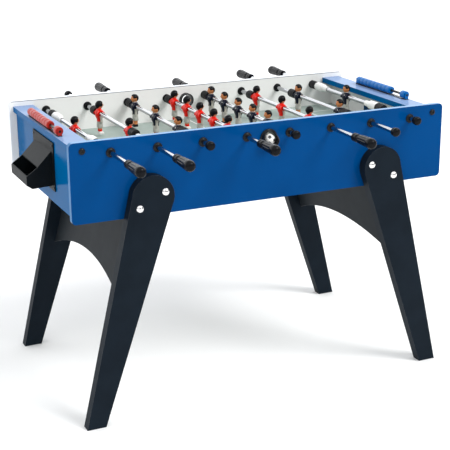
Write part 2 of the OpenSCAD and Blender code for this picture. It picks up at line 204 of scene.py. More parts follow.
def board_dark(name, colour, roughness, axis):
    """Dark melamine with a fine grain, its faces across the axis, and a painted highlight in lighter lines round
    them.
    """
    look = Look(name, roughness, Specular_IOR_Level=0.05)
    along = look.math("ABSOLUTE", look.split(look.normal)[axis])
    # Painted highlight: lighter lines on the rounded edges, where the bevel catches the light, broken up in
    # patches
    edge_highlight = look.math("MULTIPLY", look.ramp(along, 0.25, 0.6), look.ramp(along, 0.95, 0.88))
    patches = look.ramp(look.noise(38.0, 4.0), 0.35, 0.6, 0.45, 1.0)
    # Colour of the painted edge highlight
    edge = tuple(0.17 + 0.9 * c for c in colour)
    look.paint(look.mix(look.math("MULTIPLY", edge_highlight, patches), look.shade(colour, 0.1, 14.0), edge))
    look.rough(roughness, roughness + 0.03, 22.0)
    return look.bump(look.noise(900.0, 3.0), 0.12, 0.12).material


def plastic(name, colour, roughness, grain=0.0, spread=0.06, level=0.5, coat=0.0, drift=0.22):
    """Moulded plastic: a trace of colour drift, uneven gloss, and moulded grain if asked for."""
    look = Look(name, roughness, Specular_IOR_Level=level, Coat_Weight=coat, Coat_Roughness=0.05)
    look.paint(look.shade(colour, spread, 60.0))
    look.rough(roughness * (1 - drift), roughness * (1 + drift), 45.0)
    if grain:
        return look.bump(look.noise(1400.0, 2.0), 0.35, grain).material
    return look.bump(look.noise(220.0, 2.0), 0.04, 0.2).material


def metal(name, colour, roughness, stretch=(1, 1, 1)):
    """Polished metal with fine drawn lines and faint handling marks."""
    look = Look(name, roughness, Metallic=1.0)
    look.paint(look.shade(colour, 0.03, 20.0)).rough(roughness * 0.9, roughness * 1.12, 30.0)
    return look.bump(look.noise(500.0, 3.0, stretch), 0.05, 0.05).material


def field_print(name):
    """Grey-green board with its white lines: halfway line, circle, middle spot, and areas at both ends."""
    look = Look(name, 0.42, Specular_IOR_Level=0.35)
    x, y, _ = look.split(look.place)
    x = look.math("ABSOLUTE", x)
    y = look.math("ABSOLUTE", look.math("SUBTRACT", y, CENTRE_Y))
    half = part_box("playing_field")[1].x
    line, soft = 2.6 * MM, 0.3 * MM

    def stroke(distance):
        return look.ramp(look.math("ABSOLUTE", distance), line + soft, line - soft)

    def area(depth, half_width):
        reach = look.math("SUBTRACT", half - depth, x)
        return stroke(look.math("MAXIMUM", reach, look.math("SUBTRACT", y, half_width)))

    squares = look.math("ADD", look.math("MULTIPLY", x, x), look.math("MULTIPLY", y, y))
    from_circle = look.math("SUBTRACT", look.math("SQRT", squares), 92 * MM)
    spot = look.ramp(squares, (9 * MM) ** 2, (8.5 * MM) ** 2)
    lines = stroke(x)
    for mark in (stroke(from_circle), area(70 * MM, 130 * MM), area(150 * MM, 215 * MM), spot):
        lines = look.math("MAXIMUM", lines, mark)
    ground = look.shade((0.335, 0.41, 0.375), 0.05, 7.0)
    look.paint(look.mix(lines, ground, look.shade((0.86, 0.88, 0.86), 0.03, 40.0)))
    look.rough(0.36, 0.5, 30.0)
    return look.bump(look.noise(700.0, 2.0), 0.08, 0.15).material


def scorer_plastic(name):
    """Scorer frames: the low floor painted near black as shadow and reflection of the beads, brackets in the
    colour of their own beads.
    """
    look = Look(name, 0.35, Specular_IOR_Level=0.15)
    x, _, z = look.split(look.place)
    sided = look.mix(look.math("GREATER_THAN", x, 0.0), BEAD_RED, BEAD_BLUE)
    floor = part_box("scorer_trays")[0].z
    bracket = look.ramp(look.math("SUBTRACT", z, floor), 2.2 * MM, 2.8 * MM)
    # Below the brackets the part is painted near black: painted shadow and reflection of the beads
    look.paint(look.mix(bracket, (0.008, 0.009, 0.012), sided)).rough(0.28, 0.42, 50.0)
    return look.bump(look.noise(900.0, 2.0), 0.1, 0.1).material


def pine(name):
    """Bare softwood with grain along X."""
    look = Look(name, 0.62, Specular_IOR_Level=0.3)
    rings = look.noise(26.0, 6.0, (0.06, 1.0, 1.0), 0.7)
    early = look.mix(look.ramp(rings, 0.42, 0.6), (0.62, 0.43, 0.23), (0.42, 0.25, 0.11))
    pores = look.noise(300.0, 4.0, (0.05, 1.0, 1.0))
    look.paint(look.mix(look.ramp(pores, 0.5, 0.75, 0.0, 0.4), early, (0.30, 0.17, 0.08)))
    return look.bump(pores, 0.3, 0.3).material


def make_looks():
    """Every material, under a short name of its own."""
    return {
        "panel_front": laminate("blue_panel_front", inner=(Y, 1)),
        "panel_rear": laminate("blue_panel_rear", inner=(Y, -1), band_sheen=WHITE_BAND_SHEEN),
        "end_left": laminate("blue_end_left", END_BLUE, (X, 1), level=0.015),
        "end_right": laminate("blue_end_right", END_BLUE, (X, -1), level=0.015),
        "ledge": laminate("blue_ledge", END_BLUE, top=LEDGE_LIT_TOP, level=0.01, coat=0.03),
        "field": field_print("field_print"),
        "pine": pine("pine"),
        "leg": board_dark("leg_melamine", CHARCOAL, 0.42, Y),
        "cross": board_dark("cross_melamine", CROSS_GREY, 0.45, X),
        "box": plastic("black_box_plastic", (0.0055, 0.0075, 0.009), 0.4, 0.03, level=0.045, drift=0.03),
        "tray": scorer_plastic("scorer_frame"),
        "moulded": plastic("black_moulded", (0.006, 0.0065, 0.008), 0.32, 0.04, level=0.25),
        "handle": plastic("black_handle", (0.004, 0.0045, 0.006), 0.26, level=0.11, drift=0.08),
        "rubber": plastic("black_rubber", (0.007, 0.0075, 0.009), 0.6, 0.06, level=0.25),
        "bolt_black": metal("black_steel", (0.035, 0.033, 0.032), 0.36),
        "chrome": metal("chrome_rod", (0.42, 0.43, 0.45), 0.15, (1, 0.02, 1)),
        "bright": metal("bright_bolt", (0.92, 0.92, 0.93), 0.1),
        "white": plastic("white_sleeve", (0.80, 0.80, 0.78), 0.36),
        "bead_left": plastic("red_bead", BEAD_RED, 0.36, level=0.16),
        "bead_right": plastic("blue_bead", BEAD_BLUE, 0.3, level=0.18),
        "ball": plastic("ball_white", (0.80, 0.79, 0.76), 0.32),
        "ball_dark": plastic("ball_patches", (0.02, 0.02, 0.022), 0.35),
        "red": plastic("paint_red", (0.76, 0.014, 0.006), 0.28, coat=0.06, level=0.15),
        "navy": plastic("paint_navy", (0.003, 0.006, 0.018), 0.28, coat=0.05, level=0.12),
        "fair": plastic("paint_fair_skin", (0.60, 0.26, 0.13), 0.36, spread=0.1),
        "tan": plastic("paint_tan_skin", (0.62, 0.23, 0.080), 0.36, spread=0.12, level=0.25),
        "hair": plastic("paint_hair", (0.0030, 0.0030, 0.0040), 0.3, 0.05, level=0.14),
        "shorts": plastic("paint_shorts", (0.40, 0.40, 0.36), 0.38, spread=0.12),
        "pale": plastic("bare_white", (0.74, 0.73, 0.69), 0.34),
        "arm": plastic("bare_arm", (0.46, 0.44, 0.39), 0.38, spread=0.12),
    }


# ---------- Mesh tools, in millimetres ----------

def skin(bm, rings, paints=None, wrap=False):
    """Quads over rings of points. A ring of one point is a pole; paints gives each band's material."""
    rows = [[bm.verts.new(p) for p in ring] for ring in rings]
    pairs = list(zip(rows, rows[1:]))
    if wrap:
        pairs.append((rows[-1], rows[0]))
    for band, (a, b) in enumerate(pairs):
        count = max(len(a), len(b))
        for k in range(count):
            n = (k + 1) % count
            if len(a) == 1:
                corners = (a[0], b[k], b[n])
            elif len(b) == 1:
                corners = (a[k], b[0], a[n])
            else:
                corners = (a[k], b[k], b[n], a[n])
            face = bm.faces.new(corners)
            if paints is not None:
                face.material_index = paints(band, k) if callable(paints) else paints[band]
    return rows


def capped(rings):
    """The rings with the middle of the first and last one as poles."""
    def middle(ring):
        return [sum(ring, Vector()) / len(ring)]

    return [middle(rings[0]), *rings, middle(rings[-1])]


def fillet(points, radius, steps=3, closed=True):
    """The outline with its corners rounded."""
    out = []
    count = len(points)
    for k, point in enumerate(points):
        if not closed and k in (0, count - 1):
            out.append(point)
            continue
        p, a, b = Vector(point), Vector(points[k - 1]), Vector(points[(k + 1) % count])
        reach = min(radius, (a - p).length * 0.45, (b - p).length * 0.45)
        start, end = p + (a - p).normalized() * reach, p + (b - p).normalized() * reach
        for s in range(steps + 1):
            t = s / steps
            out.append(tuple(start * (1 - t) ** 2 + p * 2 * t * (1 - t) + end * t * t))
    return out


def turned(bm, profile, columns=32, dent=None, closed=False, paint=0):
    """Surface of revolution about Y over (y, r) pairs. dent(y, angle) takes some of the radius away."""
    rings = []
    for y, r in profile:
        if r < 1e-6:
            rings.append([Vector((0, y, 0))])
            continue
        ring = []
        for k in range(columns):
            angle = 2 * math.pi * k / columns
            radius = r - (dent(y, angle) if dent else 0)
            ring.append(Vector((radius * math.sin(angle), y, radius * math.cos(angle))))
        rings.append(ring)
    return skin(bm, rings, lambda band, k: paint, wrap=closed)


def move(bm, verts, matrix):
    bmesh.ops.transform(bm, matrix=matrix, verts=[v for row in verts for v in row])


def to_mesh(bm, name, materials, sharp=38):
    """Finished mesh in metres, smooth, but with its real corners left sharp."""
    bmesh.ops.recalc_face_normals(bm, faces=bm.faces)
    for face in bm.faces:
        face.smooth = True
    for edge in bm.edges:
        edge.smooth = len(edge.link_faces) == 2 and edge.calc_face_angle() < math.radians(sharp)
    bmesh.ops.scale(bm, vec=(MM, MM, MM), verts=bm.verts)
    mesh = bpy.data.meshes.new(name)
    bm.to_mesh(mesh)
    bm.free()
    for material in materials:
        mesh.materials.append(material)
    return mesh


def piece(name, mesh, body, place=None, replaced=()):
    """Puts a mesh in place, riding on its body and standing for its CAD nodes."""
    obj = bpy.data.objects.new(name, mesh)
    bpy.context.scene.collection.objects.link(obj)
    if place is not None:
        obj.matrix_world = place
    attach(obj, body)
    if replaced:
        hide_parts(*replaced)
    return obj


def refine(node, look, width_mm):
    """Gives a CAD node its material and, with a width, rounded edges. Its mesh stays as it is."""
    obj = frame["nodes"][node]
    for slot in obj.material_slots:
        slot.material = look
    if not width_mm:
        return
    weld = obj.modifiers.new("weld", "WELD")
    weld.merge_threshold = 0.01 * MM
    flat = obj.modifiers.new("flat", "DECIMATE")
    flat.decimate_type = "DISSOLVE"
    flat.angle_limit = math.radians(0.5)
    bevel = obj.modifiers.new("bevel", "BEVEL")
    bevel.width = width_mm * MM
    bevel.segments = 3
    bevel.limit_method = "ANGLE"
    bevel.angle_limit = math.radians(28)
    normals = obj.modifiers.new("normals", "WEIGHTED_NORMAL")
    normals.weight = 80


# ---------- Rod hardware ----------

ROD_BORE = 7.1
GRIP_LENGTH = 112.0
GRIP_RADIUS = 16.5
FLUTES = 10
FLUTE_START, FLUTE_END = 35.0, 88.0
FLUTE_DEPTH = 1.5
CAP_LENGTH = 24.0
SLEEVE_RADIUS = 14.5
BUMPER_LENGTH = 38.0
SPACER_LENGTH = 74.0
SPACER_NECK = 44.0
NECK_SHARE = 0.68
GROOVE_AT = 8.0
# Closes the end of a bore with a pole just outside the mouth
BORE_END = (-0.001, 0.0)


def grip_mesh(looks):
    """Handle along +Y from its rod end: collar, waist, fluted body and domed end."""
    end, r = GRIP_LENGTH, GRIP_RADIUS
    outline = [(0, ROD_BORE), (0, 11.6), (1.5, 12.8), (9, 12.9), (10.2, 12.0), (11.6, 12.0), (12.8, 12.9),
               (23.5, 12.9), (26.5, 11.0), (30.5, 10.9), (34, 13.2), (40, 13.9)]
    outline += [(40 + 6.5 * k, 13.9 + 0.34 * k) for k in range(1, 8)]
    outline += [(90, r - 0.1), (end - 15, r), (end - 9, r - 1.1), (end - 5, r - 3.2),
                (end - 2.2, r - 6.4), (end - 0.5, r - 10.5), (end, 0)]
    profile = [BORE_END] + fillet(outline, 1.6, closed=False)

    def dent(y, angle):
        along = min(1.0, max(0.0, (y - FLUTE_START) / 7)) * min(1.0, max(0.0, (FLUTE_END - y) / 8))
        groove = (0.5 + 0.5 * math.cos(FLUTES * angle)) ** 2.4
        return FLUTE_DEPTH * math.sqrt(along) * groove

    bm = bmesh.new()
    turned(bm, profile, columns=80, dent=dent)
    return to_mesh(bm, "grip", [looks["handle"]])


def cap_mesh(looks):
    """End cap along +Y from its rod end: short collar, groove and round end."""
    outline = [(0, ROD_BORE), (0, 11.2), (1.5, 12.4), (5, 12.6), (6.4, 11.8), (7.6, 11.8), (9, 13.6),
               (15, 14), (19.5, 12.6), (22.6, 8.8), (CAP_LENGTH, 0)]
    bm = bmesh.new()
    turned(bm, [BORE_END] + fillet(outline, 2.2, 4, closed=False), columns=40)
    return to_mesh(bm, "cap", [looks["handle"]])


def sleeve_mesh(name, look, length, grooves, neck=None):
    """Tube along +Y with rounded rims, a few shallow turned grooves, and a thinner part past the neck."""
    radius = SLEEVE_RADIUS
    outline = [(0, ROD_BORE), (0, radius)]
    for y in grooves:
        outline += [(y - 1.2, radius), (y - 0.6, radius - 0.7), (y + 0.6, radius - 0.7), (y + 1.2, radius)]
    if neck:
        outline += [(neck, radius), (neck + 4, radius * NECK_SHARE)]
        radius *= NECK_SHARE
    outline += [(length, radius), (length, ROD_BORE)]
    bm = bmesh.new()
    turned(bm, fillet(outline, 1.0), columns=40, closed=True)
    return to_mesh(bm, name, [look])


def bushings_mesh(name, look, centres, out, inn, thickness):
    """The bushings of one side panel: a dished flange outside, a ring inside, a sleeve between."""
    outline = [(-5, 7.08), (-5, 9.4), (-3.9, 10.4), (-4.6, 11.6), (-4.6, 12.6), (-2.6, 14.5), (0, 14.5),
               (0, 10), (thickness, 10), (thickness, 14.5), (thickness + 2.4, 14.5),
               (thickness + 4, 13), (thickness + 4, 7.08)]
    bm = bmesh.new()
    for centre in centres:
        rows = turned(bm, fillet(outline, 0.7, 2), columns=36, closed=True)
        flip = Matrix.Diagonal((1, inn, 1, 1))
        place = Matrix.Translation((centre.x / MM, out / MM, centre.z / MM))
        move(bm, rows, place @ flip)
    return to_mesh(bm, name, [look])


def add_rod_hardware(looks):
    """Handles, caps, bumpers and spacers, each on its own rod."""
    grip, cap = grip_mesh(looks), cap_mesh(looks)
    bumper = sleeve_mesh("bumper", looks["rubber"], BUMPER_LENGTH, (GROOVE_AT, BUMPER_LENGTH - GROOVE_AT))
    spacer = sleeve_mesh("spacer", looks["white"], SPACER_LENGTH, (GROOVE_AT,), SPACER_NECK)
    for rod in RODS:
        centre = SPIN[rod]
        lo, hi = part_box(f"{rod}_handle")
        to_rear = hi.y - centre.y > centre.y - lo.y
        grip_end, cap_end, side = (hi, lo, 1) if to_rear else (lo, hi, -1)
        grip_turn = Matrix.Rotation(0 if to_rear else math.pi, 4, "Z")
        cap_turn = Matrix.Rotation(math.pi if to_rear else 0, 4, "Z")
        at_grip = Matrix.Translation((centre.x, grip_end.y - side * GRIP_LENGTH * MM, centre.z))
        at_cap = Matrix.Translation((centre.x, cap_end.y + side * CAP_LENGTH * MM, centre.z))
        piece(f"{rod}_grip", grip, rod, at_grip @ grip_turn, (f"{rod}_handle",))
        piece(f"{rod}_cap", cap, rod, at_cap @ cap_turn)
        add_sleeves(rod, centre, "bumpers", bumper)
        if f"{rod}_spacers" in frame["nodes"]:
            add_sleeves(rod, centre, "spacers", spacer)


def add_sleeves(rod, centre, kind, mesh):
    """The two bumpers or spacers of a rod, one at each end of their CAD node's box."""
    lo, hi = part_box(f"{rod}_{kind}")
    front = Matrix.Translation((centre.x, lo.y, centre.z))
    rear = Matrix.Translation((centre.x, hi.y, centre.z)) @ Matrix.Rotation(math.pi, 4, "Z")
    piece(f"{rod}_{kind}_front", mesh, f"{rod}_carriage", front, (f"{rod}_{kind}",))
    piece(f"{rod}_{kind}_rear", mesh, f"{rod}_carriage", rear)


def add_bushings(looks):
    """One piece for the bushings of each side panel."""
    centres = [SPIN[rod] for rod in RODS]
    for name, panel, inn in (("front", "front_panel", 1), ("rear", "rear_panel", -1)):
        lo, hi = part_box(panel)
        out = lo.y if inn > 0 else hi.y
        thickness = (hi.y - lo.y) / MM
        mesh = bushings_mesh(f"bushings_{name}", looks["moulded"], centres, out, inn, thickness)
        replaced = ("rod_bushings",) if inn > 0 else ()
        piece(f"bushings_{name}", mesh, "cabinet", None, replaced)


# ---------- Player figures, facing +X, with the origin on the rod's axis ----------

SHIRT, COLLAR, ARM, SHORTS, LEG, SOCK, BOOT, FACE, HAIR = range(9)
COLUMNS = 48
FIGURE_HALF = 18.0
SIDE_LIMIT = 18.1
HEAD_AT = Vector((0.4, 0, 26.3))
HEAD_SIZE = Vector((12.4, 10.9, 13.5))
HAIR_OVER = 0.75

# Height, half width, half depth, forward shift, squareness, cleft at the middle, paint below
BODY = [
    (14.2, 5.6, 5.2, 0.0, 2.0, 0.0, SHIRT), (13.0, 8.4, 6.8, 0.0, 2.2, 0.0, SHIRT),
    (10.4, 12.0, 8.8, 0.2, 2.5, 0.0, SHIRT), (7.0, 14.2, 10.6, 0.5, 2.7, 0.03, SHIRT),
    (3.0, 15.4, 13.2, 0.4, 2.7, 0.05, SHIRT), (-1.5, 15.8, 14.3, 0.2, 2.7, 0.05, SHIRT),
    (-7.0, 15.0, 14.0, 0.0, 2.6, 0.03, SHIRT), (-13.0, 13.0, 12.2, 0.0, 2.5, 0.0, SHIRT),
    (-19.0, 10.9, 9.2, 0.1, 2.5, 0.0, SHIRT), (-24.0, 10.2, 8.4, 0.0, 2.5, 0.0, SHIRT),
    (-26.8, 10.5, 8.7, 0.0, 2.5, 0.0, SHIRT), (-27.6, 10.3, 8.5, 0.0, 2.5, 0.0, SHORTS),
    (-28.0, 9.4, 7.8, 0.0, 2.5, 0.0, SHORTS), (-33.0, 10.4, 8.7, 0.0, 2.7, 0.05, SHORTS),
    (-39.0, 11.2, 9.1, 0.0, 2.9, 0.12, SHORTS), (-44.5, 11.7, 9.2, 0.0, 2.9, 0.20, SHORTS),
    (-48.0, 11.9, 9.2, 0.0, 2.9, 0.24, SHORTS), (-48.7, 11.6, 8.9, 0.0, 2.9, 0.26, SHORTS),
    (-48.8, 9.6, 6.9, 0.0, 2.7, 0.34, LEG), (-51.0, 9.4, 6.8, 0.2, 2.7, 0.38, LEG),
    (-53.4, 9.0, 6.3, 0.0, 2.7, 0.38, LEG), (-53.6, 9.6, 6.9, 0.0, 2.7, 0.36, SOCK),
    (-55.2, 9.6, 6.9, 0.0, 2.7, 0.36, SOCK), (-55.6, 9.1, 6.4, -0.1, 2.7, 0.36, SOCK),
    (-59.5, 9.0, 6.4, 0.0, 2.7, 0.30, SOCK), (-61.2, 9.3, 6.8, 0.4, 2.9, 0.24, BOOT),
    (-63.4, 10.6, 8.2, 1.8, 3.3, 0.15, BOOT), (-65.6, 11.4, 9.2, 2.5, 3.9, 0.09, BOOT),
    (-68.8, 11.8, 9.4, 2.6, 4.3, 0.06, BOOT), (-69.7, 11.5, 9.1, 2.6, 4.3, 0.05, BOOT),
    (-70.0, 10.8, 8.4, 2.6, 4.3, 0.04, BOOT),
]

# Rings of the sleeve: distance out, height, half depth, half height and how much the hem slants
SLEEVE = [
    (5.0, 6.6, 7.6, 6.4, 0.0), (9.0, 5.6, 9.6, 7.6, 0.3), (12.4, 4.0, 11.2, 8.4, 0.8),
    (15.2, 2.4, 12.5, 8.8, 1.4), (17.0, 1.4, 13.1, 8.9, 1.8), (17.8, 1.0, 13.2, 8.8, 2.0),
    (17.9, 0.9, 12.6, 8.3, 2.0), (17.3, 1.0, 11.8, 7.7, 2.0),
]

# Rings of the bare forearm: height, distance out, forward shift, half width and half depth
FOREARM = [
    (-3.0, 13.2, 1.2, 3.6, 6.0), (-8.0, 14.2, 1.6, 3.7, 5.6), (-13.0, 14.2, 1.9, 3.4, 4.8),
    (-18.0, 13.6, 2.2, 3.0, 4.2), (-22.0, 13.0, 2.4, 2.7, 3.8), (-24.5, 12.8, 2.7, 3.1, 4.2),
    (-28.0, 12.6, 3.0, 3.3, 4.6), (-31.0, 12.4, 3.1, 2.8, 4.0), (-32.6, 12.2, 3.1, 1.6, 2.6),
]

# Bumps and hollows of a plain toy face: side angle, height angle, their spreads, and size
FEATURES = [
    (0, -6, 8, 13, 2.6), (0, -14, 12, 6, 0.8), (24, 7, 10, 8, -1.1), (-24, 7, 10, 8, -1.1),
    (20, 20, 16, 5, 0.6), (-20, 20, 16, 5, 0.6), (0, -28, 17, 4, 0.7), (0, -34, 15, 3, -0.7),
    (0, -40, 15, 5, 0.6), (0, -56, 20, 10, 1.3), (38, -18, 16, 14, 0.5), (-38, -18, 16, 14, 0.5),
]

# Hairlines as height angles at the forehead, the sides and the back
LONG_HAIR = (34, -16, -46)
SHORT_HAIR = (37, 8, -34)


def oval(z, half_y, half_x, shift, square, cleft):
    """Level ring round the body, its front and back pinched in where the legs part."""
    ring = []
    for k in range(COLUMNS):
        angle = 2 * math.pi * k / COLUMNS
        c, s = math.cos(angle), math.sin(angle)
        x = half_x * math.copysign(abs(c) ** (2 / square), c)
        y = half_y * math.copysign(abs(s) ** (2 / square), s)
        x *= 1 - cleft * math.exp(-(y / 1.9) ** 2)
        ring.append(Vector((x + shift, y, z)))
    return ring


def head_point(side, up, over=0.0):
    """Point of the head at those two angles in degrees, with a plain face's bumps on it."""
    a, e = math.radians(side), math.radians(up)
    p = Vector((math.cos(e) * math.cos(a), math.cos(e) * math.sin(a), math.sin(e)))
    low = max(0.0, -p.z)
    point = Vector((p.x * HEAD_SIZE.x, p.y * HEAD_SIZE.y * (1 - 0.24 * low), p.z * HEAD_SIZE.z))
    if p.x < 0:
        point.x *= 1 - 0.12 * low
    if not over:
        for at, height, wide, tall, size in FEATURES:
            off = ((side - at) / wide) ** 2 + ((up - height) / tall) ** 2
            point += p * size * math.exp(-off)
    return HEAD_AT + point + p * over


def front_dense(k, count):
    """Angle in degrees of column k, with the columns closer together at the front."""
    t = 2 * math.pi * k / count - math.pi
    return math.degrees(t - 0.42 * math.sin(t))


def add_head(bm):
    """The head as one closed surface, with the face towards +X."""
    columns, rows = 44, 26
    rings = [[head_point(0, -90)]]
    for r in range(1, rows):
        up = -90 + 180 * r / rows
        rings.append([head_point(front_dense(k, columns), up) for k in range(columns)])
    rings.append([head_point(0, 90)])
    skin(bm, rings, lambda band, k: FACE)


def ease(t):
    """0 to 1, slow at both ends."""
    t = min(1.0, max(0.0, t))
    return t * t * (3 - 2 * t)


def hairline(side, style):
    """How far down the hair reaches at each side angle, in degrees."""
    front, sides, back = style
    to_side, to_back = ease((abs(side) - 32) / 26), ease((abs(side) - 95) / 40)
    return front + (sides - front) * to_side + (back - sides) * to_back


def add_hair(bm, style):
    """Combed hair as a closed shell of strands that ends in a rounded rim."""
    columns, rows = 96, 14
    rings = [[head_point(0, 90, HAIR_OVER)]]
    steps = [(r / rows, HAIR_OVER) for r in range(1, rows + 1)]
    steps += [(1.02, 0.2), (0.98, -1.4)] + [(r / rows, -1.8) for r in range(rows - 2, 1, -3)]
    for share, over in steps:
        ring = []
        for k in range(columns):
            side = front_dense(k, columns)
            up = 90 - (90 - hairline(side, style)) * share
            turn = math.radians(side)
            wave = 0.3 * math.sin(turn * 24 + 3 * share) + 0.14 * math.sin(turn * 11)
            strand = wave * min(1.0, 1.6 * share) if over > 0.5 else 0
            fringe = 0.5 * math.exp(-(side / 42) ** 2) * share if over > 0.5 else 0
            ring.append(head_point(side, up, over + strand + fringe + 1e-6))
        rings.append(ring)
    rings.append([head_point(0, 90, -1.8)])
    skin(bm, rings, lambda band, k: HAIR)


def add_blob(bm, centre, size, paint):
    """Small rounded lump, for ears, eyes and the like."""
    columns, rows = 14, 8
    rings = [[centre - Vector((0, 0, size[2]))]]
    for r in range(1, rows):
        e = math.pi * (r / rows - 0.5)
        ring = []
        for k in range(columns):
            a = 2 * math.pi * k / columns
            out = math.cos(e)
            off = (size[0] * out * math.cos(a), size[1] * out * math.sin(a), size[2] * math.sin(e))
            ring.append(centre + Vector(off))
        rings.append(ring)
    rings.append([centre + Vector((0, 0, size[2]))])
    skin(bm, rings, lambda band, k: paint)


def add_face_parts(bm, ears):
    """Ears if asked for, eyes, brows, mouth, neck and shirt collar."""
    for s in (-1, 1):
        if ears:
            ear = head_point(s * 92, -3) + Vector((-0.6, s * 0.5, 0))
            add_blob(bm, ear, (2.0, 1.2, 3.0), FACE)
        add_blob(bm, head_point(s * 23, 5.5) + Vector((-0.25, 0, 0)), (0.7, 1.35, 0.95), COLLAR)
        add_blob(bm, head_point(s * 22.5, 5.5) + Vector((0.22, 0, 0)), (0.45, 0.7, 0.72), HAIR)
        add_blob(bm, head_point(s * 23, 16.5) + Vector((-0.1, 0, 0)), (0.5, 2.0, 0.42), HAIR)
    mouth = head_point(0, -34) + Vector((-0.1, 0, 0))
    add_blob(bm, mouth, (0.35, 2.1, 0.3), LEG)
    neck = [oval(z, r, r * 1.02, 0.2, 2.0, 0) for z, r in ((11, 6.0), (14.2, 5.7), (17, 5.6), (20, 6.0))]
    skin(bm, capped(neck), lambda band, k: FACE)
    collar = [oval(z, r, r, 0.1, 2.0, 0) for z, r in
              ((13.2, 6.4), (14.3, 6.9), (15.1, 6.6), (15.0, 6.0), (13.4, 5.7))]
    skin(bm, collar, lambda band, k: COLLAR, wrap=True)


def add_arm(bm, side):
    """Sleeve that reaches down over the rod, the bare forearm below it, and the hub round the rod."""
    count = 28
    turns = [2 * math.pi * k / count for k in range(count)]
    sleeve = []
    for out, height, deep, tall, slant in SLEEVE:
        ring = []
        for a in turns:
            y = min(SIDE_LIMIT, out + slant * math.sin(a))
            x = deep * math.cos(a) * (1 - 0.5 * math.sin(a))
            ring.append(Vector((0.4 + x, side * y, height + tall * math.sin(a))))
        sleeve.append(ring)
    skin(bm, capped(sleeve), lambda band, k: SHIRT)
    forearm = []
    for height, out, ahead, wide, deep in FOREARM:
        forearm.append([Vector((ahead + deep * math.cos(a), side * (out + wide * math.sin(a)), height))
                        for a in turns])
    skin(bm, capped(forearm), lambda band, k: ARM)
    hub = [(8.0, 7.06), (8.0, 8.8), (17.6, 8.8), (18.1, 8.3), (18.1, 7.06)]
    rows = turned(bm, fillet(hub, 0.5, 2), columns=28, closed=True, paint=SHIRT)
    move(bm, rows, Matrix.Diagonal((1, side, 1, 1)))


def figure_mesh(name, looks, paints, style, ears):
    """One player with separate paints for its shirt, collar, arms, shorts, legs, socks, boots and head."""
    bm = bmesh.new()
    skin(bm, capped([oval(*row[:6]) for row in BODY]),
         lambda band, k: BODY[min(max(0, band - 1), len(BODY) - 1)][-1])
    for side in (-1, 1):
        add_arm(bm, side)
    add_head(bm)
    add_hair(bm, style)
    add_face_parts(bm, ears)
    add_blob(bm, Vector((12.2, 5.4, 5.6)), (0.9, 1.7, 1.8), COLLAR)
    return to_mesh(bm, name, [looks[p] for p in paints], 50)


def add_figures(looks):
    """All players: red ones face +X, navy ones are turned round. They share one mesh per team."""
    red = ("red", "red", "arm", "shorts", "fair", "red", "pale", "fair", "hair")
    navy = ("navy", "pale", "arm", "shorts", "tan", "tan", "hair", "tan", "hair")
    meshes = {
        "red_team": figure_mesh("figure_red", looks, red, LONG_HAIR, False),
        "navy_team": figure_mesh("figure_navy", looks, navy, SHORT_HAIR, True),
    }
    for rod, count in zip(RODS, PLAYERS):
        node = f"{rod}_players"
        team = SLOTS[node]
        lo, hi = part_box(node)
        half = FIGURE_HALF * MM
        first, last = lo.y + half, hi.y - half
        facing = Matrix.Rotation(0 if team == "red_team" else math.pi, 4, "Z")
        for k in range(count):
            y = first + (last - first) * k / max(1, count - 1)
            place = Matrix.Translation((SPIN[rod].x, y, SPIN[rod].z)) @ facing
            replaced = (node,) if k == 0 else ()
            piece(f"{rod}_figure_{k + 1}", meshes[team], rod, place, replaced)


# ---------- Scorers, feed cups and ball ----------

BEAD_LENGTH, BEAD_PITCH, BEAD_RADIUS, BEAD_BORE = 23.7, 24.0, 12.5, 4.1
BEAD_NODES = (("bead_stack", 9), ("bead", 1))


def add_beads(looks):
    """Score beads with sloped rims, threaded on the scorer rods."""
    length, r = BEAD_LENGTH, BEAD_RADIUS
    outline = [(0, BEAD_BORE), (0, r - 1.5), (1.3, r), (length - 1.3, r), (length, r - 1.5),
               (length, BEAD_BORE)]
    for side in SIDES:
        look = looks[f"bead_{side}"]
        for kind, count in BEAD_NODES:
            node = f"{side}_{kind}"
            lo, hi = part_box(node)
            bm = bmesh.new()
            for k in range(count):
                rows = turned(bm, fillet(outline, 0.5, 2), columns=32, closed=True)
                move(bm, rows, Matrix.Translation((0, BEAD_PITCH * k, 0)))
            mesh = to_mesh(bm, f"{node}_beads", [look])
            at = Matrix.Translation(((lo.x + hi.x) / 2, lo.y, (lo.z + hi.z) / 2))
            piece(f"{node}_beads", mesh, node, at, (node,))


BOLT_HEAD_RADIUS, BOLT_HEAD_HEIGHT = 10.0, 5.0


def add_ledge_bolts(looks):
    """Black domed bolt heads with a round recess, through the side panels into the ledges."""
    outline = [(-2.4, 0), (-2.4, 3.0), (-4.6, 3.4), (-BOLT_HEAD_HEIGHT, 4.3), (-4.7, 6.4), (-3.7, 8.4),
               (-2, 9.7), (-0.5, BOLT_HEAD_RADIUS), (0, 9.6), (0, 3.0), (46, 3.0), (48, 0)]
    lo, hi = (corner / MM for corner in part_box("ledge_bolts"))
    z = (lo.z + hi.z) / 2
    bm = bmesh.new()
    for x in (lo.x + BOLT_HEAD_RADIUS, hi.x - BOLT_HEAD_RADIUS):
        for y, inn in ((lo.y + BOLT_HEAD_HEIGHT, 1), (hi.y - BOLT_HEAD_HEIGHT, -1)):
            rows = turned(bm, fillet(outline, 0.5, 2, closed=False), columns=32)
            move(bm, rows, Matrix.Translation((x, y, z)) @ Matrix.Diagonal((1, inn, 1, 1)))
    mesh = to_mesh(bm, "ledge_bolt_set", [looks["moulded"]])
    piece("ledge_bolt_set", mesh, "cabinet", None, ("ledge_bolts",))


CUP_RIM, CUP_REACH, CUP_SLEEVE = 5.0, 30.0, 19.0
CUP_BORE, CUP_WALL = 20.5, 23.5


